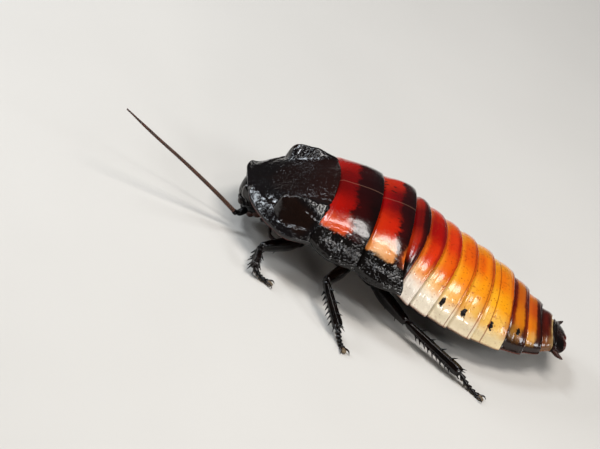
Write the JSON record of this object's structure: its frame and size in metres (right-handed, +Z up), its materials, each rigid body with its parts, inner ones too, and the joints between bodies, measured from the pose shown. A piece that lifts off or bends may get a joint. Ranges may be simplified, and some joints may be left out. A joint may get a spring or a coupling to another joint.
{
  "type": "madagascar hissing cockroach",
  "caption": "Adult male hissing cockroach standing on six spined legs, with a horned head shield and banded red and amber back plates.",
  "frame": {"origin": "on the floor that the six feet stand on, under the middle of the bounding box", "axes": "+X from the head towards the tail, +Y towards the animal's right side, +Z up from the floor"},
  "size_m": [0.0892, 0.0526, 0.0164],
  "materials": {
    "dark_shell": "glossy black-brown cuticle, finely pitted",
    "red_shell": "glossy red-brown cuticle with dark bands",
    "amber_shell": "glossy amber cuticle, paler at the sides",
    "brown_shell": "glossy dark brown cuticle",
    "eye": "smooth black compound eye"
  },
  "bodies": {
    "root": {"antenna_base_left": "dark_shell", "antenna_base_right": "dark_shell", "antenna_lash_left": "brown_shell", "antenna_lash_right": "brown_shell", "antenna_tip_left": "brown_shell", "antenna_tip_right": "brown_shell", "cercus_left": "brown_shell", "cercus_right": "brown_shell", "coxa_front_left": "dark_shell", "coxa_front_right": "dark_shell", "coxa_hind_left": "dark_shell", "coxa_hind_right": "dark_shell", "coxa_middle_left": "dark_shell", "coxa_middle_right": "dark_shell", "eye_left": "eye", "eye_right": "eye", "femur_front_left": "dark_shell", "femur_front_right": "dark_shell", "femur_hind_left": "dark_shell", "femur_hind_right": "dark_shell", "femur_middle_left": "dark_shell", "femur_middle_right": "dark_shell", "foot_front_left": "dark_shell", "foot_front_right": "dark_shell", "foot_hind_left": "dark_shell", "foot_hind_right": "dark_shell", "foot_middle_left": "dark_shell", "foot_middle_right": "dark_shell", "head": "dark_shell", "mesonotum": "red_shell", "mesothorax": "dark_shell", "metanotum": "red_shell", "metathorax": "dark_shell", "palp_left": "dark_shell", "palp_right": "dark_shell", "pronotum": "dark_shell", "prothorax": "dark_shell", "tail_plate": "dark_shell", "tergum_1": "red_shell", "tergum_2": "red_shell", "tergum_3": "amber_shell", "tergum_4": "amber_shell", "tergum_5": "amber_shell", "tergum_6": "amber_shell", "tergum_7": "brown_shell", "tergum_8": "amber_shell", "tergum_9": "brown_shell", "tibia_front_left": "dark_shell", "tibia_front_right": "dark_shell", "tibia_hind_left": "dark_shell", "tibia_hind_right": "dark_shell", "tibia_middle_left": "dark_shell", "tibia_middle_right": "dark_shell"}
  },
  "joints": []
}
